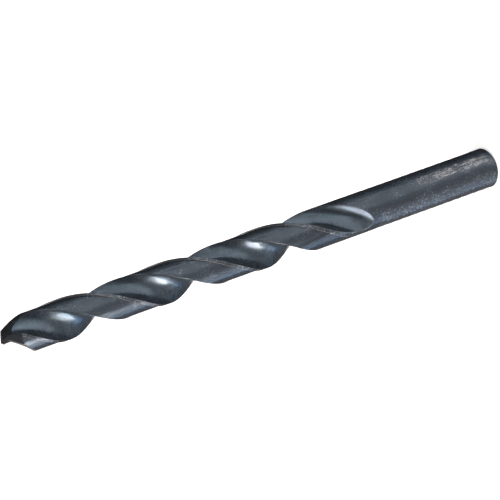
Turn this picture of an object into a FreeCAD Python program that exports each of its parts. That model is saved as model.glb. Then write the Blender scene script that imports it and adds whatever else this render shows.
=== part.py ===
import FreeCAD, Part
import math
import os
import Sketcher

# Twist drill with a straight shank, two right-hand flutes and a split point.
# It stands on the flat end of its shank: origin at that end's centre, +Z along the axis to the point.

doc = FreeCAD.newDocument("TwistDrill")

# Driving dimensions, millimetres and degrees
sizes = doc.addObject("Spreadsheet::Sheet", "Sizes")
dimensions = [
    ("drillDiameter", 7.5, "diameter over the margins"),
    ("shankDiameter", 7.48, "diameter of the shank, a little under the drill's"),
    ("overallLength", 110.6, "shank end to chisel edge"),
    ("shankTaper", 0.8, "length of the cone from the shank up to the body"),
    ("shankChamfer", 0.35, "chamfer at the shank end"),
    ("fluteLength", 80.0, "chisel edge to the end of the flute run-out"),
    ("bodyBelowFlutes", 0.8, "plain body of the full diameter under the flutes, above the shank's cone"),
    ("helixLead", 43.9, "axial length of one turn of a flute"),
    ("fluteAngle", 101.0, "opening of a flute, from its cutting corner to the next heel"),
    ("webAtPoint", 1.86, "core thickness at the cutting corners"),
    ("webAtRunout", 2.34, "core thickness where the flutes begin to run out"),
    ("webDirection", 59.5, "direction of the flute's deepest point, from the cutting corner"),
    ("runoutWheelRadius", 16.5, "radius of the wheel's arc where a flute leaves the body"),
    ("runoutDirection", 77.0, "direction in which the wheel leaves, from the cutting corner"),
    ("marginWidth", 0.55, "width of the margin behind a cutting corner"),
    ("clearanceDepth", 0.23, "depth of the body clearance behind the margin"),
    ("clearanceLength", 69.8, "chisel edge to the end of the body clearance"),
    ("clearanceEndAngle", 7.0, "lean of the clearance's end from the drill's axis"),
    ("pointAngle", 135.0, "angle of the point between its cutting lips"),
    ("lipRelief", 11.0, "fall of the flank behind a lip"),
    ("splitRelief", 53.0, "fall of the split behind the flank"),
    ("splitSweep", 25.0, "direction of the split's edge, behind the lip"),
    ("splitWallAngle", 25.0, "direction of the split's wall, towards the other lip"),
    ("chiselLength", 1.5, "chisel edge left between the two splits"),
]
for row, (alias, value, meaning) in enumerate(dimensions, start=1):
    sizes.set("A%d" % row, meaning)
    sizes.set("B%d" % row, str(value))
    sizes.setAlias("B%d" % row, alias)
doc.recompute()


def size(alias):
    return float(getattr(sizes, alias))


radius = size("drillDiameter") / 2
webHalf = size("webAtPoint") / 2
lipTurn = math.degrees(math.asin(webHalf / radius))
lipSlope = 1 / math.tan(math.radians(size("pointAngle") / 2))
reliefSlope = math.tan(math.radians(size("lipRelief")))
lipReach = math.sqrt(radius ** 2 - webHalf ** 2)
# the chisel edge lies a little under the lips' own meeting height, because the flanks fall behind the lips
lipsMeet = size("overallLength") + webHalf * reliefSlope
cornerHeight = lipsMeet - lipReach * lipSlope
# the cutters reach past the bar: to this many of its radii across, and by this length along it
profileReach = 1.5
ringReach = 1.2
blockReach = 4
overrun = 1.5
axis = FreeCAD.Vector(0, 0, 1)
center = FreeCAD.Vector(0, 0, 0)


def polar(distance, degrees):
    return FreeCAD.Vector(distance * math.cos(math.radians(degrees)),
                          distance * math.sin(math.radians(degrees)), 0)


def turned(degrees, height=0):
    return FreeCAD.Placement(FreeCAD.Vector(0, 0, height), FreeCAD.Rotation(axis, degrees))


def turnAt(height):
    return 360 * (height - cornerHeight) / size("helixLead")


# Sketch helpers: a place is an edge with one of its ends or its centre, the origin or the X axis
ends = {"start": 1, "end": 2, "center": 3}
xAxis = -1
origin = (xAxis, "start")


def addLines(sketch, points):
    return [sketch.addGeometry(Part.LineSegment(start, end)) for start, end in zip(points, points[1:])]


def join(sketch, first, second):
    sketch.addConstraint(Sketcher.Constraint("Coincident", first[0], ends[first[1]], second[0], ends[second[1]]))


def putOn(sketch, place, edge):
    sketch.addConstraint(Sketcher.Constraint("PointOnObject", place[0], ends[place[1]], edge))


def bindConstraints(sketch, entries):
    for name, constraint, expression in entries:
        index = sketch.addConstraint(constraint)
        sketch.renameConstraint(index, name)
        sketch.setExpression("Constraints." + name, expression)


# Blank: a turned bar, chamfered at the shank end and left square where the point is ground.
# Its outline stands clear of the cutting corners, so that the bar's seam meets none of them.
seamTurn = 40
chamfer = size("shankChamfer")
length = size("overallLength")
shankRadius = size("shankDiameter") / 2
bodyStart = length - size("fluteLength") - size("bodyBelowFlutes")
shankTop = bodyStart - size("shankTaper")
blankSketch = doc.addObject("Sketcher::SketchObject", "BlankSketch")
blankSketch.Placement = FreeCAD.Placement(center, FreeCAD.Rotation(seamTurn, 0, 90))
outline = [(0, 0), (shankRadius - chamfer, 0), (shankRadius, chamfer), (shankRadius, shankTop),
           (radius, bodyStart), (radius, length), (0, length), (0, 0)]
foot, bevel, shankSide, cone, bodySide, top, middle = addLines(
    blankSketch, [FreeCAD.Vector(across, along, 0) for across, along in outline])
rounds = [foot, bevel, shankSide, cone, bodySide, top, middle, foot]
for edge, following in zip(rounds, rounds[1:]):
    join(blankSketch, (edge, "end"), (following, "start"))
join(blankSketch, (foot, "start"), origin)
for edge in (foot, top):
    blankSketch.addConstraint(Sketcher.Constraint("Horizontal", edge))
for edge in (shankSide, bodySide, middle):
    blankSketch.addConstraint(Sketcher.Constraint("Vertical", edge))
bindConstraints(blankSketch, [
    ("chamferAcross", Sketcher.Constraint("DistanceX", bevel, 1, bevel, 2, chamfer), "Sizes.shankChamfer"),
    ("chamferAlong", Sketcher.Constraint("DistanceY", bevel, 1, bevel, 2, chamfer), "Sizes.shankChamfer"),
    ("shankRadius", Sketcher.Constraint("DistanceX", foot, 1, shankSide, 1, shankRadius),
     "Sizes.shankDiameter / 2"),
    ("bodyStart", Sketcher.Constraint("DistanceY", foot, 1, cone, 2, bodyStart),
     "Sizes.overallLength - Sizes.fluteLength - Sizes.bodyBelowFlutes"),
    ("coneLength", Sketcher.Constraint("DistanceY", cone, 1, cone, 2, size("shankTaper")), "Sizes.shankTaper"),
    ("bodyRadius", Sketcher.Constraint("DistanceX", foot, 1, bodySide, 2, radius), "Sizes.drillDiameter / 2"),
    ("blankLength", Sketcher.Constraint("DistanceY", foot, 1, bodySide, 2, length), "Sizes.overallLength"),
])
blank = doc.addObject("Part::Revolution", "Blank")
blank.Source = blankSketch
blank.Axis = axis
blank.Base = center
blank.Angle = 360
blank.Solid = True

# Flute profile across the axis: a long arc for the cutting face and a tighter one up to the heel.
# Both are tangent to the core, so their centres lie on the line through the deepest point.
fluteSketch = doc.addObject("Sketcher::SketchObject", "FluteSketch")
outside = profileReach * radius
corner = FreeCAD.Vector(radius, 0, 0)
heel = polar(radius, size("fluteAngle"))
deepest = polar(webHalf, size("webDirection"))
outward = polar(1, size("webDirection"))


def addProfileArc(tip):
    chord = tip - deepest
    bend = chord.dot(chord) / (2 * chord.dot(outward))
    middleOfArc = deepest + outward * bend
    tipAngle, deepestAngle = [math.atan2(end.y - middleOfArc.y, end.x - middleOfArc.x) for end in (tip, deepest)]
    fromAngle, toAngle = (deepestAngle, tipAngle) if tip is corner else (tipAngle, deepestAngle)
    return fluteSketch.addGeometry(Part.ArcOfCircle(Part.Circle(middleOfArc, axis, bend), fromAngle, toAngle))


faceArc = addProfileArc(corner)
heelArc = addProfileArc(heel)
heelOutside = heel * (outside / heel.y)
heelSide, farSide, nearSide, cornerSide = addLines(fluteSketch, [
    heel, heelOutside, FreeCAD.Vector(outside, outside, 0), FreeCAD.Vector(outside, 0, 0), corner])
deepLine = fluteSketch.addGeometry(Part.LineSegment(center, deepest), True)
heelLine = fluteSketch.addGeometry(Part.LineSegment(center, heel), True)
for first, second in [((faceArc, "start"), (deepLine, "end")), ((heelArc, "end"), (deepLine, "end")),
                      ((heelArc, "start"), (heelSide, "start")), ((heelLine, "end"), (heelSide, "start")),
                      ((heelSide, "end"), (farSide, "start")), ((farSide, "end"), (nearSide, "start")),
                      ((nearSide, "end"), (cornerSide, "start")), ((cornerSide, "end"), (faceArc, "end")),
                      ((deepLine, "start"), origin), ((heelLine, "start"), origin)]:
    join(fluteSketch, first, second)
putOn(fluteSketch, (faceArc, "center"), deepLine)
putOn(fluteSketch, (heelArc, "center"), deepLine)
putOn(fluteSketch, (cornerSide, "end"), xAxis)
putOn(fluteSketch, (heelSide, "end"), heelLine)
fluteSketch.addConstraint(Sketcher.Constraint("Horizontal", farSide))
fluteSketch.addConstraint(Sketcher.Constraint("Vertical", nearSide))
fluteSketch.addConstraint(Sketcher.Constraint("Horizontal", cornerSide))
fluteAngle = math.radians(size("fluteAngle"))
webDirection = math.radians(size("webDirection"))
outsideExpression = "Sizes.drillDiameter / 2 * %g" % profileReach
bindConstraints(fluteSketch, [
    ("cornerRadius", Sketcher.Constraint("DistanceX", -1, 1, cornerSide, 2, radius), "Sizes.drillDiameter / 2"),
    ("heelRadius", Sketcher.Constraint("Distance", heelLine, radius), "Sizes.drillDiameter / 2"),
    ("heelDirection", Sketcher.Constraint("Angle", -1, 1, heelLine, 1, fluteAngle), "Sizes.fluteAngle * 1 deg"),
    ("coreRadius", Sketcher.Constraint("Distance", deepLine, webHalf), "Sizes.webAtPoint / 2"),
    ("coreDirection", Sketcher.Constraint("Angle", -1, 1, deepLine, 1, webDirection),
     "Sizes.webDirection * 1 deg"),
    ("clearX", Sketcher.Constraint("DistanceX", -1, 1, nearSide, 1, outside), outsideExpression),
    ("clearY", Sketcher.Constraint("DistanceY", -1, 1, nearSide, 1, outside), outsideExpression),
])
doc.recompute()

# Flute cutter: the profile turned along the helix from beyond the point, drawing out of the core
# as the web thickens, and lifted by the wheel's arc where the flute runs out of the body
wheelRadius = size("runoutWheelRadius")
fluteEnd = length - size("fluteLength")
runoutDepth = radius - size("webAtRunout") / 2
runoutStart = fluteEnd + math.sqrt(2 * wheelRadius * runoutDepth)
webGrowth = (size("webAtRunout") - size("webAtPoint")) / 2 / (cornerHeight - runoutStart)
sectionTurn = 20
runoutSteps = 8


def fluteSection(height):
    web = webGrowth * (cornerHeight - height)
    lift = max(0, runoutStart - height) ** 2 / (2 * wheelRadius)
    shift = polar(web, size("webDirection")) + polar(lift, size("runoutDirection"))
    wire = fluteSketch.Shape.Wires[0].copy()
    wire.Placement = turned(turnAt(height), height) * FreeCAD.Placement(shift, FreeCAD.Rotation())
    return wire


cutterTop = length + overrun
helixSteps = math.ceil((turnAt(cutterTop) - turnAt(runoutStart)) / sectionTurn)
helixStep = (cutterTop - runoutStart) / helixSteps
runoutStep = (runoutStart - fluteEnd + overrun) / runoutSteps
heights = [cutterTop - helixStep * step for step in range(helixSteps)]
heights += [runoutStart - runoutStep * step for step in range(runoutSteps + 1)]
fluteCutter = doc.addObject("Part::Feature", "FluteCutter")
fluteCutter.Shape = Part.makeLoft([fluteSection(height) for height in heights], True, False)

# Body clearance: a shallow ring sector behind each margin, swept along the same helix.
# Angles run back from the cutting corner, over the land and a little past its heel.
beyondHeel = 8
clearanceTop = length - size("clearanceLength")
sweepStart = clearanceTop - radius
marginAngle = math.degrees(size("marginWidth") / radius)
sectorEnd = 180 - size("fluteAngle") + beyondHeel
ringInside = radius - size("clearanceDepth")
ringOutside = ringReach * radius
clearanceSketch = doc.addObject("Sketcher::SketchObject", "ClearanceSketch")
innerArc, outerArc = [
    clearanceSketch.addGeometry(Part.ArcOfCircle(Part.Circle(center, axis, ringRadius),
                                                 math.radians(-sectorEnd), math.radians(-marginAngle)))
    for ringRadius in (ringInside, ringOutside)]
sectorSide, marginSide = [addLines(clearanceSketch, [polar(ringInside, -angle), polar(ringOutside, -angle)])[0]
                          for angle in (sectorEnd, marginAngle)]
for end, side in (("start", sectorSide), ("end", marginSide)):
    join(clearanceSketch, (innerArc, end), (side, "start"))
    join(clearanceSketch, (outerArc, end), (side, "end"))
for arc in (innerArc, outerArc):
    join(clearanceSketch, (arc, "center"), origin)
for side in (sectorSide, marginSide):
    putOn(clearanceSketch, origin, side)
bindConstraints(clearanceSketch, [
    ("ringInside", Sketcher.Constraint("Radius", innerArc, ringInside),
     "Sizes.drillDiameter / 2 - Sizes.clearanceDepth"),
    ("ringOutside", Sketcher.Constraint("Radius", outerArc, ringOutside),
     "Sizes.drillDiameter / 2 * %g" % ringReach),
    ("marginAngle", Sketcher.Constraint("Angle", -1, 1, marginSide, 1, math.radians(-marginAngle)),
     "-Sizes.marginWidth / (Sizes.drillDiameter / 2) * 1 rad"),
    ("sectorAngle", Sketcher.Constraint("Angle", -1, 1, sectorSide, 1, math.radians(-sectorEnd)),
     "-(180 - Sizes.fluteAngle + %g) * 1 deg" % beyondHeel),
])
clearanceSketch.Placement = turned(turnAt(sweepStart), sweepStart)
clearanceHelix = doc.addObject("Part::Helix", "ClearanceHelix")
clearanceHelix.setExpression("Pitch", "Sizes.helixLead * 1 mm")
clearanceHelix.setExpression("Radius", "Sizes.drillDiameter / 2 * 1 mm")
clearanceHelix.Height = cutterTop - sweepStart
clearanceHelix.Placement = clearanceSketch.Placement
clearanceSweep = doc.addObject("Part::Sweep", "ClearanceSweep")
clearanceSweep.Sections = [clearanceSketch]
clearanceSweep.Spine = (clearanceHelix, [])
clearanceSweep.Solid = True
clearanceSweep.Frenet = True


def addBlock(name):
    block = doc.addObject("Part::Box", name)
    for side in ("Length", "Width", "Height"):
        block.setExpression(side, "Sizes.drillDiameter * %g mm" % blockReach)
    return block


blockHalf = blockReach * radius
# a block's corner seen from the middle of the face that it is placed by
underFace = FreeCAD.Placement(FreeCAD.Vector(-blockHalf, -blockHalf, 0), FreeCAD.Rotation())
besideFace = FreeCAD.Placement(FreeCAD.Vector(-blockHalf, -2 * blockHalf, -blockHalf), FreeCAD.Rotation())

# The clearance stops on a line that leans a little from the axis, where its wheel left the land
lean = FreeCAD.Placement(FreeCAD.Vector(radius, 0, 0),
                         FreeCAD.Rotation(FreeCAD.Vector(1, 0, 0), size("clearanceEndAngle")))
clearanceStop = addBlock("ClearanceStop")
clearanceStop.Placement = turned(turnAt(clearanceTop) - marginAngle, clearanceTop) * lean * besideFace
clearanceCutter = doc.addObject("Part::Cut", "ClearanceCutter")
clearanceCutter.Base = clearanceSweep
clearanceCutter.Tool = clearanceStop

# Point: each lip has a flank that falls behind it and, behind the flank, a steep split that stops
# at the chisel edge. All are planes, ground by large blocks that are set on them.


def flankHeight(across, ahead):
    return lipsMeet - across * lipSlope + (ahead - webHalf) * reliefSlope


def addGrindingBlock(name, point, normal):
    block = addBlock(name)
    face = FreeCAD.Placement(point, FreeCAD.Rotation(axis, normal))
    block.Placement = turned(-lipTurn) * face * underFace
    return block


splitSweep = math.radians(size("splitSweep"))
splitWall = math.radians(size("splitWallAngle"))
splitSlope = math.tan(math.radians(size("splitRelief")))
chiselEnd = size("chiselLength") / 2
splitPoint = FreeCAD.Vector(chiselEnd, 0, flankHeight(chiselEnd, 0))
alongSplit = FreeCAD.Vector(math.cos(splitSweep), -math.sin(splitSweep), 0)
alongSplit.z = -alongSplit.x * lipSlope + alongSplit.y * reliefSlope
behindSplit = FreeCAD.Vector(-math.sin(splitSweep), -math.cos(splitSweep), -splitSlope)
flankBlock = addGrindingBlock("FlankBlock", FreeCAD.Vector(0, 0, flankHeight(0, 0)),
                              FreeCAD.Vector(lipSlope, -reliefSlope, 1))
splitFloor = addGrindingBlock("SplitFloor", splitPoint, behindSplit.cross(alongSplit))
splitSide = addGrindingBlock("SplitSide", splitPoint,
                             FreeCAD.Vector(-math.sin(splitWall), math.cos(splitWall), 0))
splitBlock = doc.addObject("Part::Cut", "SplitBlock")
splitBlock.Base = splitFloor
splitBlock.Tool = splitSide
doc.recompute()

# Each tool cuts twice, half a turn apart
drill = blank
for tool in (clearanceCutter, fluteCutter, flankBlock, splitBlock):
    for turn in (0, 180):
        copy = doc.addObject("Part::Feature", "%sAt%d" % (tool.Name, turn))
        copy.Shape = tool.Shape
        copy.Placement = turned(turn) * tool.Placement
        cut = doc.addObject("Part::Cut", "Cut%sAt%d" % (tool.Name, turn))
        cut.Base = drill
        cut.Tool = copy
        doc.recompute()
        print(cut.Name, "leaves %.2f mm3" % cut.Shape.Volume)
        drill = cut
drill.Label = "drill_bit"

for item in doc.Objects:
    if "Invalid" in item.State or "Error" in item.State:
        raise RuntimeError("%s failed: %s" % (item.Name, item.State))
if drill.Shape.isNull() or not drill.Shape.isValid() or len(drill.Shape.Solids) != 1:
    raise RuntimeError("the drill is not one valid solid")

os.makedirs("parts", exist_ok=True)
drill.Shape.exportStep("parts/%s.step" % drill.Label)
print(drill.Shape.optimalBoundingBox(True, False))
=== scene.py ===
import bpy
import math
from mathutils import Matrix, Vector


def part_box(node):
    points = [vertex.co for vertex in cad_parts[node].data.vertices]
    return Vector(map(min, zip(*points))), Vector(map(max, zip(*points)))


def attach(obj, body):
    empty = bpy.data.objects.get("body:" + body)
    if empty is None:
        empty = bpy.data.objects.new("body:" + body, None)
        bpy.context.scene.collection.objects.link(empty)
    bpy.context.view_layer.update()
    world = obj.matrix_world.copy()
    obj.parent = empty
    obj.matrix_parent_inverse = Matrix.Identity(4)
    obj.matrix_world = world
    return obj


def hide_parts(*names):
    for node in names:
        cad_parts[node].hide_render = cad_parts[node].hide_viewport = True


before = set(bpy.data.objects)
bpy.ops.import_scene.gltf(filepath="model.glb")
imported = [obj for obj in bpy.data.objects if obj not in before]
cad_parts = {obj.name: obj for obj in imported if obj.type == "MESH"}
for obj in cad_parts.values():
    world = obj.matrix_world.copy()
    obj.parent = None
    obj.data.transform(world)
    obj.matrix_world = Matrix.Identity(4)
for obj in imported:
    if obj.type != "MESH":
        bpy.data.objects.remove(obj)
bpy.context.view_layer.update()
scene = bpy.context.scene
millimetre = 0.001
degree = math.pi / 180

low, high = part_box("drill_bit")
print("frame loaded, drill box", [round(side, 5) for side in Vector(high) - Vector(low)])


class Field:  # a node's output that can be used in sums, like a number
    def __init__(self, tree, socket):
        self.tree = tree
        self.socket = socket

    def calc(self, operation, *others):
        node = self.tree.nodes.new("ShaderNodeMath")
        node.operation = operation
        for slot, item in zip(node.inputs, (self,) + others):
            plug(self.tree, slot, item)
        return Field(self.tree, node.outputs[0])

    def __add__(self, other):
        return self.calc("ADD", other)

    def __sub__(self, other):
        return self.calc("SUBTRACT", other)

    def __mul__(self, other):
        return self.calc("MULTIPLY", other)

    def __truediv__(self, other):
        return self.calc("DIVIDE", other)

    def __rsub__(self, other):
        return self.calc("MULTIPLY", -1).calc("ADD", other)

    __radd__ = __add__
    __rmul__ = __mul__


def plug(tree, slot, item):
    if isinstance(item, Field):
        tree.links.new(item.socket, slot)
    elif isinstance(item, bpy.types.NodeSocket):
        tree.links.new(item, slot)
    else:
        slot.default_value = item


def sine(angle):
    return angle.calc("SINE")


def cosine(angle):
    return angle.calc("COSINE")


def root(value):
    return value.calc("SQRT")


def below(first, second):  # 1 where the first is under the second, otherwise 0
    return first.calc("LESS_THAN", second)


def upTo(number, whole):  # 1 up to that row or column and on it
    return below(number, whole + 0.5)


def near(number, whole):  # 1 on that row or column only
    return below((number - whole).calc("ABSOLUTE"), 0.5)


def either(condition, yes, no):  # the condition is 1 or 0
    return condition * (yes - no) + no


def clamp(field):  # held between 0 and 1
    return field.calc("MAXIMUM", 0).calc("MINIMUM", 1)


def ramp(field, start, steepness):  # climbs from 0 past the start; a minus steepness falls to 0 there
    return clamp((field - start) * steepness)


def addNode(tree, kind, settings=None, **inputs):  # settings are properties, inputs are sockets by name
    node = tree.nodes.new(kind)
    for name, value in (settings or {}).items():
        setattr(node, name, value)
    for name, item in inputs.items():
        label = name.replace("_", " ")
        plug(tree, next(slot for slot in node.inputs if slot.name == label and slot.enabled), item)
    return node


# Drill: a grid bent to shape, whose columns follow the flutes round the bar and whose rows climb it
drillValues = {
    "Shank radius": 3.74,            # all lengths in millimetres, angles in degrees
    "Shank chamfer": 0.35,
    "Shank length": 29.0,
    "Shank taper": 0.8,              # height of the cone between the shank and the body
    "Flute length": 80.0,            # from the chisel edge to the end of the run-out
    "Lead": 43.9,                    # one turn of a flute
    "Flute angle": 101.0,            # from the cutting corner round to the heel
    "Web half": 0.93,
    "Web half at runout": 1.17,
    "Web direction": 59.5,           # from the cutting corner round to the flute's deepest point
    "Wheel radius": 16.5,
    "Runout direction": 77.0,        # in which the wheel leaves the body
    "Margin width": 0.55,
    "Clearance depth": 0.23,
    "Clearance length": 69.8,
    "Clearance lean": 7.0,
    "Clearance fade": 0.35,          # length over which the clearance's end rises to the land
}
pointValues = {
    "point angle": 135.0,
    "lip relief": 11.0,
    "split relief": 53.0,
    "split sweep": 25.0,
    "split wall angle": 25.0,
    "chisel length": 1.5,
}
meshValues = {
    "face columns": 18,              # corner to the deepest point of a flute
    "heel columns": 18,              # deepest point to the heel
    "clearance columns": 26,
    "margin columns": 10,
    "shank rows": 14,
    "runout rows": 60,
    "flute rows": 330,
    "over the point": 1.5,           # the bar's surplus, which the point's grinding takes off
    "last plain gap": 0.05,          # from the last round row to the flutes' end
    "tolerance": 0.001,
    "merge distance": 0.0005,
    "sharp angle": 32,
}

radius = (high[0] - low[0]) / 2 / millimetre
length = high[2] / millimetre
webHalf = drillValues["Web half"]
lipSlope = 1 / math.tan(math.radians(pointValues["point angle"] / 2))
reliefSlope = math.tan(math.radians(pointValues["lip relief"]))
lipTurn = math.asin(webHalf / radius)
lipsMeet = length + webHalf * reliefSlope
cornerHeight = lipsMeet - math.sqrt(radius ** 2 - webHalf ** 2) * lipSlope
wheelRadius = drillValues["Wheel radius"]
runoutDepth = radius - drillValues["Web half at runout"]
runoutStart = length - drillValues["Flute length"] + math.sqrt(2 * wheelRadius * runoutDepth)

# Rows: the first is drawn in to the middle of the shank's end and the last to the middle of the top
shankStartRow = 2
shankEndRow = shankStartRow + meshValues["shank rows"]
coneTopRow = shankEndRow + 1
lastPlainRow = coneTopRow + 1
runoutStartRow = lastPlainRow + 1
fluteStartRow = runoutStartRow + meshValues["runout rows"]
lastRow = fluteStartRow + meshValues["flute rows"] + 1

# Columns: half of them go round half the bar, by cutting face, heel side, cleared land, step and margin
faceColumns = meshValues["face columns"]
fluteColumns = faceColumns + meshValues["heel columns"]
clearColumns = fluteColumns + meshValues["clearance columns"]
halfColumns = clearColumns + 1 + meshValues["margin columns"]


def fluteArcs():  # both arcs touch the core at the deepest point, so their centres lie on one line with it
    direction = math.radians(drillValues["Web direction"])
    outward = Vector((math.cos(direction), math.sin(direction)))
    heelAngle = math.radians(drillValues["Flute angle"])
    ends = [Vector((radius, 0)), radius * Vector((math.cos(heelAngle), math.sin(heelAngle)))]
    bends = []
    for end in ends:
        chord = end - outward * webHalf
        bends.append(chord.length_squared / (2 * chord.dot(outward)))
    return bends


faceBend, heelBend = fluteArcs()


def fluteEndHeight():  # where the wheel has lifted the cutting face's arc right out of the body
    growth = (drillValues["Web half at runout"] - webHalf) / (cornerHeight - runoutStart)
    apart = (drillValues["Runout direction"] - drillValues["Web direction"]) * degree
    height = length - drillValues["Flute length"]
    for attempt in range(4):         # each attempt starts from the height before it, and four are enough
        reach = webHalf + growth * (cornerHeight - height) + faceBend
        chord = math.sqrt((radius + faceBend) ** 2 - (reach * math.sin(apart)) ** 2)
        lift = chord - reach * math.cos(apart)
        height = runoutStart - math.sqrt(2 * wheelRadius * lift)
    return height


drillValues.update({
    "Radius": radius,
    "Length": length,
    "Corner height": cornerHeight,
    "Face bend": faceBend,
    "Heel bend": heelBend,
    "Flute end": fluteEndHeight(),
    "Runout start": runoutStart,
})


def rowHeight(row, get):  # a row's height above the shank's end
    chamfer = get("Shank chamfer")
    share = (row - shankStartRow) / meshValues["shank rows"]
    height = chamfer + (get("Shank length") - chamfer) * share
    height = either(upTo(row, shankStartRow - 1), 0, height)
    height = either(upTo(row, shankEndRow), height, get("Shank length") + get("Shank taper"))
    height = either(upTo(row, coneTopRow), height, get("Flute end") - meshValues["last plain gap"])
    climb = (row - runoutStartRow) / meshValues["runout rows"]
    runout = get("Flute end") + (get("Runout start") - get("Flute end")) * climb * climb
    height = either(upTo(row, lastPlainRow), height, runout)
    rest = (row - fluteStartRow) / meshValues["flute rows"]
    top = get("Length") + meshValues["over the point"]
    flute = get("Runout start") + (top - get("Runout start")) * rest.calc("MINIMUM", 1)
    return either(upTo(row, fluteStartRow), height, flute)


def drillTree(material):
    tree = bpy.data.node_groups.new("drillShape", "GeometryNodeTree")
    tree.interface.new_socket("Geometry", in_out="INPUT", socket_type="NodeSocketGeometry")
    for name, value in drillValues.items():
        socket = tree.interface.new_socket(name, in_out="INPUT", socket_type="NodeSocketFloat")
        socket.default_value = value
    tree.interface.new_socket("Geometry", in_out="OUTPUT", socket_type="NodeSocketGeometry")
    given = tree.nodes.new("NodeGroupInput")

    def get(name):
        return Field(tree, given.outputs[name])

    # the grid's spacing is 1, so its points tell their own row and column
    grid = addNode(tree, "GeometryNodeMeshGrid", Size_X=2.0 * halfColumns, Size_Y=float(lastRow),
                   Vertices_X=2 * halfColumns + 1, Vertices_Y=lastRow + 1)
    gridPlace = tree.nodes.new("GeometryNodeInputPosition").outputs[0]
    spot = addNode(tree, "ShaderNodeSeparateXYZ", Vector=gridPlace)
    around = (Field(tree, spot.outputs["X"]) + halfColumns).calc("ROUND")
    row = (Field(tree, spot.outputs["Y"]) + lastRow / 2).calc("ROUND")
    secondHalf = 1 - upTo(around, halfColumns - 1)
    column = around - secondHalf * halfColumns
    height = rowHeight(row, get)
    plain = below(height, get("Flute end") + meshValues["tolerance"])
    fluted = 1 - plain

    # the land's radius, before the clearance is taken off
    body = get("Radius")
    shank = get("Shank radius")
    land = either(upTo(row, shankEndRow), shank, body)
    land = either(upTo(row, shankStartRow - 1), shank - get("Shank chamfer"), land)

    # the section's shift: the web grows towards the shank, and the wheel lifts out at the run-out
    turn = (height - get("Corner height")) / get("Lead") * (2 * math.pi)
    growth = (get("Web half at runout") - get("Web half")) / (get("Corner height") - get("Runout start"))
    thicker = growth * (get("Corner height") - height)
    past = (get("Runout start") - height).calc("MAXIMUM", 0)
    lift = past * past / (get("Wheel radius") * 2)
    webAngle = get("Web direction") * degree
    liftAngle = get("Runout direction") * degree
    shiftX = thicker * cosine(webAngle) + lift * cosine(liftAngle)
    shiftY = thicker * sine(webAngle) + lift * sine(liftAngle)
    deepX = get("Web half") * cosine(webAngle) + shiftX
    deepY = get("Web half") * sine(webAngle) + shiftY
    deepRadius = root(deepX * deepX + deepY * deepY)
    deepInside = below(deepRadius, land)

    def arc(bend):  # centre, and where the arc's circle crosses the land's on either side
        centreX = deepX + bend * cosine(webAngle)
        centreY = deepY + bend * sine(webAngle)
        reach = root(centreX * centreX + centreY * centreY)
        direction = centreY.calc("ARCTAN2", centreX)
        cosineOfSpread = (land * land + reach * reach - bend * bend) / (land * reach * 2)
        spread = cosineOfSpread.calc("MINIMUM", 1).calc("ARCCOSINE") * fluted
        return centreX, centreY, direction - spread, direction + spread

    def bearing(angle, centreX, centreY):  # direction from an arc's centre to a point of the land's circle
        across = land * cosine(angle) - centreX
        along = land * sine(angle) - centreY
        bent = along.calc("ARCTAN2", across)
        return either(below(bent, 0), bent + 2 * math.pi, bent)

    # flute: once the deepest point has left the body, only the cutting face's arc is still in it
    faceX, faceY, cornerAngle, faceFar = arc(get("Face bend"))
    heelX, heelY, _, heelAngle = arc(get("Heel bend"))
    heelAngle = either(deepInside, heelAngle, faceFar)
    cornerBearing = bearing(cornerAngle, faceX, faceY)
    deepBearing = either(deepInside, webAngle + math.pi, bearing(faceFar, faceX, faceY))
    heelBearing = bearing(heelAngle, heelX, heelY)
    heelShare = (column - faceColumns) / (fluteColumns - faceColumns)
    faceTurn = cornerBearing + (deepBearing - cornerBearing) * (column / faceColumns)
    heelTurn = webAngle + math.pi + (heelBearing - webAngle - math.pi) * heelShare
    onFace = upTo(column, faceColumns)
    fluteX = either(onFace, faceX + get("Face bend") * cosine(faceTurn),
                    heelX + get("Heel bend") * cosine(heelTurn))
    fluteY = either(onFace, faceY + get("Face bend") * sine(faceTurn),
                    heelY + get("Heel bend") * sine(heelTurn))
    collapsed = (1 - onFace) * (1 - deepInside)
    fluteX = either(collapsed, land * cosine(heelAngle), fluteX)
    fluteY = either(collapsed, land * sine(heelAngle), fluteY)

    # land behind the flute: the clearance, the margin's step and the margin itself
    marginAngle = get("Margin width") / body
    stepAngle = math.pi - marginAngle
    clearShare = (column - fluteColumns) / (clearColumns - fluteColumns)
    marginShare = (column - clearColumns - 1) / (halfColumns - clearColumns - 1)
    onClear = upTo(column, clearColumns)
    landAngle = either(onClear, heelAngle + (stepAngle - heelAngle) * clearShare,
                       stepAngle + (cornerAngle + math.pi - stepAngle) * marginShare)
    top = get("Length") - get("Clearance length")
    stopAngle = (top - get("Corner height")) / get("Lead") * (2 * math.pi) - marginAngle
    behind = body * sine(landAngle - math.pi + turn - stopAngle)
    lean = get("Clearance lean") * degree
    beyond = (behind * cosine(lean) + (height - top) * sine(lean)) / get("Clearance fade")
    cleared = clamp(beyond)
    cleared = cleared * cleared * (3 - 2 * cleared)
    wholeFrom = top + body * 3       # the rounded end is shorter than three radii
    cleared = either(below(height, wholeFrom), cleared, 1)
    cleared = cleared * (1 - below(height, top))
    landRadius = land - get("Clearance depth") * cleared * onClear

    # whole section: flute or land, and a plain circle under the flutes
    inFlute = upTo(column, fluteColumns - 1) * fluted
    plainAngle = either(upTo(column, fluteColumns), heelAngle, landAngle)
    sectionX = either(inFlute, fluteX, landRadius * cosine(landAngle))
    sectionY = either(inFlute, fluteY, landRadius * sine(landAngle))
    sectionX = either(plain, land * cosine(plainAngle), sectionX)
    sectionY = either(plain, land * sine(plainAngle), sectionY)

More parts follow.
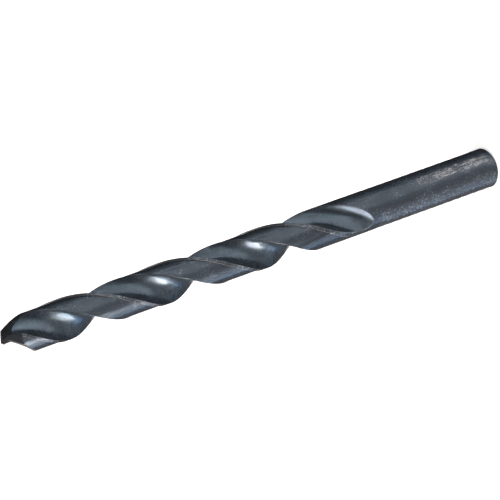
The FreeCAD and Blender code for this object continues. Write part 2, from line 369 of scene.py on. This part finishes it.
    # both ends close on the axis
    between = upTo(row, lastRow - 1) - upTo(row, 0)
    sectionX = sectionX * between
    sectionY = sectionY * between
    whole = turn + secondHalf * math.pi
    placeX = sectionX * cosine(whole) - sectionY * sine(whole)
    placeY = sectionX * sine(whole) + sectionY * cosine(whole)
    place = addNode(tree, "ShaderNodeCombineXYZ", X=placeX, Y=placeY, Z=height)

    # what the finish reads; the faces that the point's grinding adds have none of it, so their onBody is 0
    # edge lines on the cutting corner, the heel, both sides of the margin's step and the margin's corner:
    # partly wear and partly painted highlight, and on the step painted light over its shade
    wornAndHighlitEdges = near(column, 0)
    for edgeColumn in (fluteColumns, clearColumns, clearColumns + 1, halfColumns):
        wornAndHighlitEdges = wornAndHighlitEdges + near(column, edgeColumn)
    marks = {
        "inFlute": upTo(column, fluteColumns) * fluted,
        "acrossFlute": column / fluteColumns,
        "onMargin": (1 - onClear) * fluted,
        "edgeWearAndPaintedHighlight": wornAndHighlitEdges.calc("MINIMUM", 1) * fluted,
        "onBody": 1.0,
    }
    marked = grid.outputs["Mesh"]
    for name, value in marks.items():
        marked = addNode(tree, "GeometryNodeStoreNamedAttribute", {"data_type": "FLOAT", "domain": "POINT"},
                         Geometry=marked, Name=name, Value=value).outputs[0]

    shaped = addNode(tree, "GeometryNodeSetPosition", Geometry=marked, Position=place.outputs[0])
    closed = addNode(tree, "GeometryNodeMergeByDistance", Geometry=shaped.outputs[0],
                     Distance=meshValues["merge distance"])
    ground = pointCuts(tree, closed.outputs[0])
    inMetres = addNode(tree, "GeometryNodeTransform", Geometry=ground)
    inMetres.inputs["Scale"].default_value = (millimetre, millimetre, millimetre)
    realized = addNode(tree, "GeometryNodeRealizeInstances", Geometry=inMetres.outputs[0])
    finished = addNode(tree, "GeometryNodeSetMaterial", Geometry=realized.outputs[0], Material=material)
    result = tree.nodes.new("NodeGroupOutput")
    tree.links.new(finished.outputs[0], result.inputs[0])
    return tree


def pointCuts(tree, geometry):  # two flanks and two splits, ground by large blocks
    sweep = math.radians(pointValues["split sweep"])
    wall = math.radians(pointValues["split wall angle"])
    splitSlope = math.tan(math.radians(pointValues["split relief"]))
    chiselEnd = pointValues["chisel length"] / 2
    blockSize = 8 * radius           # more than the grinding takes off

    def flankHeight(across, ahead):
        return lipsMeet - across * lipSlope + (ahead - webHalf) * reliefSlope

    def blockOn(point, normal):  # a block that lies on the plane through the point
        cube = addNode(tree, "GeometryNodeMeshCube")
        cube.inputs["Size"].default_value = (blockSize, blockSize, blockSize)
        towards = Matrix.Rotation(-lipTurn, 3, "Z") @ normal.normalized()
        middle = Matrix.Rotation(-lipTurn, 3, "Z") @ point + towards * blockSize / 2
        moved = addNode(tree, "GeometryNodeTransform", Geometry=cube.outputs["Mesh"])
        moved.inputs["Translation"].default_value = middle
        moved.inputs["Rotation"].default_value = towards.to_track_quat("Z", "Y").to_euler()
        return moved.outputs[0]

    def subtract(base, tool):
        cut = addNode(tree, "GeometryNodeMeshBoolean", {"operation": "DIFFERENCE", "solver": "MANIFOLD"})
        plug(tree, cut.inputs["Mesh 1"], base)
        plug(tree, cut.inputs["Mesh 2"], tool)
        return cut.outputs["Mesh"]

    splitPoint = Vector((chiselEnd, 0, flankHeight(chiselEnd, 0)))
    alongX, alongY = math.cos(sweep), -math.sin(sweep)
    along = Vector((alongX, alongY, -alongX * lipSlope + alongY * reliefSlope))
    behind = Vector((-math.sin(sweep), -math.cos(sweep), -splitSlope))
    flank = blockOn(Vector((0, 0, flankHeight(0, 0))), Vector((lipSlope, -reliefSlope, 1)))
    splitFloor = blockOn(splitPoint, behind.cross(along))
    splitWall = blockOn(splitPoint, Vector((-math.sin(wall), math.cos(wall), 0)))
    for tool in (flank, subtract(splitFloor, splitWall)):
        other = addNode(tree, "GeometryNodeTransform", Geometry=tool)
        other.inputs["Rotation"].default_value = (0, 0, math.pi)
        geometry = subtract(subtract(geometry, tool), other.outputs[0])
    return geometry


def plainMesh(source, name):  # the evaluated shape as a mesh of its own, with no modifier left
    evaluated = source.evaluated_get(bpy.context.evaluated_depsgraph_get())
    mesh = bpy.data.meshes.new_from_object(evaluated)
    piece = bpy.data.objects.new(name, mesh)
    scene.collection.objects.link(piece)
    bpy.data.objects.remove(source)
    mesh.shade_smooth()
    mesh.set_sharp_from_angle(angle=math.radians(meshValues["sharp angle"]))
    return piece


def makeDrill(material):
    holder = bpy.data.objects.new("drillGrid", bpy.data.meshes.new("drillGrid"))
    scene.collection.objects.link(holder)
    tree = drillTree(material)
    modifier = holder.modifiers.new("shape", "NODES")
    modifier.node_group = tree
    for item in tree.interface.items_tree:
        if item.in_out == "INPUT" and item.name in drillValues:
            modifier[item.identifier] = drillValues[item.name]
    return plainMesh(holder, "drillBody")


# Finish: black oxide over ground steel, worn to bare metal along the margins and on the shank; the
# bare-steel lines along each edge are partly wear and partly painted highlight
finishValues = {
    "flute colour": (0.022, 0.029, 0.0365, 1),
    "land colour": (0.0185, 0.023, 0.0285, 1),
    "point colour": (0.024, 0.027, 0.03, 1),
    "bare steel": (0.36, 0.35, 0.34, 1),
    "metallic": 0.7,                 # the oxide scatters the rest
    "edge tint": 0.18,               # brightness left at a grazing view
    "flute roughness": 0.17,
    "land roughness": 0.25,
    "feed slant": 1.4,               # millimetres that a feed line climbs across a flute
    "feed drift": 4.0,               # how far a feed line's brightness wanders across it
    "sides": {                       # degrees from the cutting corner's side, spread (1 is none), sharpness
        "scuffed": (22.5, 0.95, 40),     # the patch that the chuck's jaws scuffed
        "rubbed": (-56.0, 0.78, 8),      # the side on which the shank has lain
    },
    "heights": {                     # where the shank's wear starts or ends, millimetres, and how sharply
        "held to": (18.5, -4),
        "scuffed from": (1, 1),
        "scuffed to": (18.5, -8),
        "rubbed to": (29, -1),
    },
    "patterns": {                    # per millimetre round and along the drill, then detail and roughness
        "grain": (3.0, 3.0, 3.0, 0.6),
        "blotches": (0.5, 0.35, 3.0, 0.55),
        "streaks": (3.0, 0.5, 4.0, 0.6),
        "feed lines": (0.5, 2.6, 1.0, 0.5),
        "ring lines": (0.5, 9.0, 1.0, 0.5),
    },
    "breaks": {                      # the pattern's value at which steel starts to show, and how sharply
        "blotches": (0.42, 4),
        "streaks": (0.42, 4),
        "specks": (0.38, 4),
        "margins": (0.5, 5),
        "wornAndHighlitEdges": (1.15, 6),
    },
    "edge grain": 0.8,               # how far the grain breaks up the edge lines, which are wear and painted highlight
    # shares of bare steel, of the colours above, of roughness and of a millimetre
    # the edge lines' share is partly painted highlight, not only wear
    "bareSteelShares": {"wornAndHighlitEdges": 0.2, "margins": 0.1, "held": 0.012, "scuffed": 0.34, "rubbed": 0.06},
    "tone": {"least": -0.1, "blotches": 0.5, "grain": 1.7, "feed lines": 0.9},
    "roughening": {"blotches": 0.12, "grain": 0.16, "wearAndEdgeHighlight": 0.3},
    "relief": {"feed lines": 0.02, "ring lines": 0.003, "grain": 0.009},
}


def oxideMaterial():
    material = bpy.data.materials.new("blackOxideSteel")
    material.use_nodes = True
    tree = material.node_tree
    shader = tree.nodes["Principled BSDF"]
    values = finishValues
    middle = 0.5                     # of a noise pattern

    def attribute(name):
        return Field(tree, addNode(tree, "ShaderNodeAttribute", {"attribute_name": name}).outputs["Fac"])

    def pattern(name, across, ahead, up):
        around, along, detail, roughness = values["patterns"][name]
        vector = addNode(tree, "ShaderNodeCombineXYZ", X=across * around, Y=ahead * around, Z=up * along)
        made = addNode(tree, "ShaderNodeTexNoise", Vector=vector.outputs[0], Scale=1.0, Detail=detail,
                       Roughness=roughness)
        return Field(tree, made.outputs["Fac"])

    def blend(share, first, second):
        mixed = tree.nodes.new("ShaderNodeMix")
        mixed.data_type = "RGBA"
        plug(tree, mixed.inputs["Factor"], share)
        plug(tree, mixed.inputs[6], first)     # the two colours
        plug(tree, mixed.inputs[7], second)
        return mixed.outputs[2]

    def side(name):  # 1 on that side of the shank and 0 round the rest
        direction, spread, sharpness = values["sides"][name]
        turn = math.radians(direction)
        facing = (x * math.cos(turn) + y * math.sin(turn)) / drillValues["Shank radius"]
        return ramp(facing, spread, sharpness)

    objectPlace = tree.nodes.new("ShaderNodeTexCoord").outputs["Object"]
    place = addNode(tree, "ShaderNodeSeparateXYZ", Vector=objectPlace)
    x, y, z = [Field(tree, place.outputs[axis]) / millimetre for axis in "XYZ"]
    inFlute = attribute("inFlute")
    across = attribute("acrossFlute")
    onBody = attribute("onBody")
    grain = pattern("grain", x, y, z)
    blotches = pattern("blotches", x, y, z)
    rings = pattern("ring lines", x, y, z)
    feed = pattern("feed lines", x + across * values["feed drift"], y, z + across * values["feed slant"])

    # wear, with painted highlight along each edge: bare metal breaks through the oxide where the patterns
    # let it
    bareSteelShares = values["bareSteelShares"]
    breaks = values["breaks"]
    heights = values["heights"]
    streaks = ramp(pattern("streaks", x, y, z), *breaks["streaks"])
    # the edge lines: bare steel that is partly wear and partly painted highlight, and on the margin's step
    # painted light over its shade
    wornAndHighlitEdges = ramp(attribute("edgeWearAndPaintedHighlight") * onBody + grain * values["edge grain"], *breaks["wornAndHighlitEdges"])
    margins = attribute("onMargin") * onBody * ramp(grain, *breaks["margins"])
    held = ramp(z, *heights["held to"]) * ramp(blotches, *breaks["blotches"]) * grain
    scuffed = side("scuffed") * ramp(z, *heights["scuffed from"]) * ramp(z, *heights["scuffed to"])
    scuffed = scuffed * streaks * grain
    rubbed = side("rubbed") * ramp(z, *heights["rubbed to"]) * ramp(grain, *breaks["specks"])
    rubbed = rubbed * (streaks + 1) / 2
    # all bare steel together: wear, with the edge lines' painted highlight in it
    wearAndEdgeHighlight = wornAndHighlitEdges * bareSteelShares["wornAndHighlitEdges"] + margins * bareSteelShares["margins"] + held * bareSteelShares["held"]
    wearAndEdgeHighlight = (wearAndEdgeHighlight + scuffed * bareSteelShares["scuffed"] + rubbed * bareSteelShares["rubbed"]).calc("MINIMUM", 1)

    # colour: each part's own, made lighter and darker by the patterns
    tones = values["tone"]
    ground = blend(inFlute, values["land colour"], values["flute colour"])
    ground = blend(onBody, values["point colour"], ground)
    tone = blotches * tones["blotches"] + grain * tones["grain"] + tones["least"]
    tone = tone + (feed - middle) * inFlute * tones["feed lines"]
    toned = addNode(tree, "ShaderNodeVectorMath", {"operation": "SCALE"}, Scale=tone)
    plug(tree, toned.inputs[0], ground)
    plug(tree, shader.inputs["Base Color"], blend(wearAndEdgeHighlight, toned.outputs[0], values["bare steel"]))
    shader.inputs["Metallic"].default_value = values["metallic"]
    shader.inputs["Specular IOR Level"].default_value = 0
    shader.inputs["Specular Tint"].default_value = (values["edge tint"],) * 3 + (1,)

    roughening = values["roughening"]
    smoother = values["land roughness"] - values["flute roughness"]
    roughness = values["land roughness"] - inFlute * smoother + (blotches - middle) * roughening["blotches"]
    roughness = roughness + (grain - middle) * roughening["grain"] + wearAndEdgeHighlight * roughening["wearAndEdgeHighlight"]
    plug(tree, shader.inputs["Roughness"], roughness)

    # relief: the patterns' heights in millimetres
    relief = values["relief"]
    depth = inFlute * feed * relief["feed lines"] + (1 - inFlute) * rings * relief["ring lines"]
    depth = depth + grain * relief["grain"]
    bump = addNode(tree, "ShaderNodeBump", Strength=1.0, Distance=millimetre, Height=depth)
    tree.links.new(bump.outputs[0], shader.inputs["Normal"])
    return material


oxide = oxideMaterial()
drill = makeDrill(oxide)
print("drill made:", len(drill.data.vertices), "vertices,", len(drill.data.polygons), "faces")
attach(drill, "root")
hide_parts("drill_bit")

# Stage: a white floor that runs past the picture on every side
stageValues = {
    "half width": 1.6,
    "white": 0.92,
    "roughness": 0.9,
    "glow": 0.23,                    # the paper's own white, where the shadow still shows
}


def makeFloor():
    half = stageValues["half width"]
    mesh = bpy.data.meshes.new("floor")
    corners = [(-half, -half, 0), (half, -half, 0), (half, half, 0), (-half, half, 0)]
    mesh.from_pydata(corners, [], [(0, 1, 2, 3)])
    floor = bpy.data.objects.new("floor", mesh)
    scene.collection.objects.link(floor)
    material = bpy.data.materials.new("paper")
    material.use_nodes = True
    tree = material.node_tree
    shader = tree.nodes["Principled BSDF"]
    white = stageValues["white"]
    shader.inputs["Base Color"].default_value = (white, white, white, 1)
    shader.inputs["Roughness"].default_value = stageValues["roughness"]
    seen = tree.nodes.new("ShaderNodeLightPath")
    share = Field(tree, seen.outputs["Is Camera Ray"])
    for kind in ("Is Glossy Ray", "Is Transmission Ray"):
        share = share.calc("MAXIMUM", Field(tree, seen.outputs[kind]))
    glow = addNode(tree, "ShaderNodeEmission", Strength=share * stageValues["glow"])
    both = tree.nodes.new("ShaderNodeAddShader")
    tree.links.new(shader.outputs[0], both.inputs[0])
    tree.links.new(glow.outputs[0], both.inputs[1])
    tree.links.new(both.outputs[0], tree.nodes["Material Output"].inputs["Surface"])
    mesh.materials.append(material)
    floor.visible_shadow = False     # lamps under the floor's level light the drill, as on a light table
    return floor


floor = makeFloor()
print("floor laid,", 2 * stageValues["half width"], "m wide")

# Camera: it looks down the drill from the point's side, with the shank running off to the upper right
cameraValues = {
    "distance in diameters": 110.0,
    "pixels per diameter": 43.0,     # where the drill's axis passes the aim pixel
    "aim height": 89.99,             # millimetres above the shank end
    "aim pixel": (99.8, 306.3),
    "tilt": 34.38,                   # degrees between the axis and the picture's plane
    "roll": 19.77,
    "turn": 175.55,                  # degrees about the drill's axis
    "picture": 500,                  # pixels on a side
    "sensor": 36,
    "clip": (0.01, 10),              # nearest and farthest, metres
}


def makeCamera():
    diameter = 2 * radius * millimetre
    turn, tilt, roll = [math.radians(cameraValues[name]) for name in ("turn", "tilt", "roll")]
    away = Vector((math.cos(turn), math.sin(turn), 0))
    level = Vector((math.sin(turn), -math.cos(turn), 0))
    down = Vector((0, 0, -1))
    forward = away * math.cos(tilt) + down * math.sin(tilt)
    along = down * math.cos(tilt) - away * math.sin(tilt)
    right = along * math.cos(roll) - level * math.sin(roll)
    up = along * math.sin(roll) + level * math.cos(roll)
    scale = cameraValues["pixels per diameter"]
    half = cameraValues["picture"] / 2
    pixelX, pixelY = cameraValues["aim pixel"]
    aim = Vector((0, 0, cameraValues["aim height"] * millimetre))
    distance = cameraValues["distance in diameters"]
    place = aim - forward * distance * diameter
    place -= right * (pixelX - half) / scale * diameter
    place -= up * (half - pixelY) / scale * diameter
    data = bpy.data.cameras.new("camera")
    data.sensor_width = cameraValues["sensor"]
    data.lens = scale * distance / cameraValues["picture"] * cameraValues["sensor"]
    data.clip_start, data.clip_end = cameraValues["clip"]
    camera = bpy.data.objects.new("camera", data)
    camera.matrix_world = Matrix((right, up, -forward)).transposed().to_4x4()
    camera.matrix_world.translation = place
    scene.collection.objects.link(camera)
    scene.camera = camera
    return right, up, forward


pictureRight, pictureUp, pictureForward = makeCamera()
print("camera set, lens", round(scene.camera.data.lens), "mm")

# Light: soft lamps far from the drill, each given by the directions of its two ends in the picture
lampValues = {                       # ends: degrees round from the camera to the right, degrees up
    "strip": {"ends": ((69, -31), (155, -69)), "width": 0.115, "distance": 0.4, "brightness": 54,
              "colour": (1, 0.85, 0.74)},
    "lowStrip": {"ends": ((12, -52), (85, -84)), "width": 0.5, "distance": 1.2, "brightness": 27,
                 "colour": (1, 0.9, 0.87)},
    "edgeStrip": {"ends": ((106, -38), (160, -38)), "width": 0.26, "distance": 1.2, "brightness": 13,
                  "colour": (0.88, 0.93, 1)},
    "card": {"ends": ((4, 0), (125, 62)), "width": 1.15, "distance": 1.2, "brightness": 4.0,
             "colour": (1, 0.95, 0.91)},
    "window": {"ends": ((80, -25), (172, -22)), "width": 0.32, "distance": 1.2, "brightness": 2.1,
               "colour": (0.32, 0.63, 1)},
    "overhead": {"ends": ((-40, 40), (-70, -60)), "width": 1.6, "distance": 1.6, "brightness": 0.7,
                 "colour": (1, 1, 1)},
}
worldValues = {"colour": (0.86, 0.88, 0.9, 1), "strength": 0.4}


def pictureDirection(around, up):
    around, up = math.radians(around), math.radians(up)
    return (pictureRight * math.cos(up) * math.sin(around) + pictureUp * math.sin(up)
            - pictureForward * math.cos(up) * math.cos(around))


def makeLamp(name, values):
    first, last = [pictureDirection(*end) * values["distance"] for end in values["ends"]]
    across = (last - first).normalized()
    back = ((first + last) / 2).normalized()
    data = bpy.data.lights.new(name, "AREA")
    data.shape = "RECTANGLE"
    data.size = (last - first).length
    data.size_y = values["width"]
    data.energy = values["brightness"] * math.pi * data.size * data.size_y
    data.color = values["colour"]
    data.cycles.use_multiple_importance_sampling = False
    lamp = bpy.data.objects.new(name, data)
    side = back.cross(across).normalized()
    lamp.matrix_world = Matrix((across, side, across.cross(side))).transposed().to_4x4()
    lamp.matrix_world.translation = Vector((0, 0, length * millimetre / 2)) + (first + last) / 2
    scene.collection.objects.link(lamp)


for lampName, values in lampValues.items():
    makeLamp(lampName, values)

world = bpy.data.worlds.new("world")
scene.world = world
world.use_nodes = True
world.node_tree.nodes["Background"].inputs["Color"].default_value = worldValues["colour"]
world.node_tree.nodes["Background"].inputs["Strength"].default_value = worldValues["strength"]
scene.view_settings.view_transform = "Standard"
print("lamps hung:", ", ".join(lampValues))
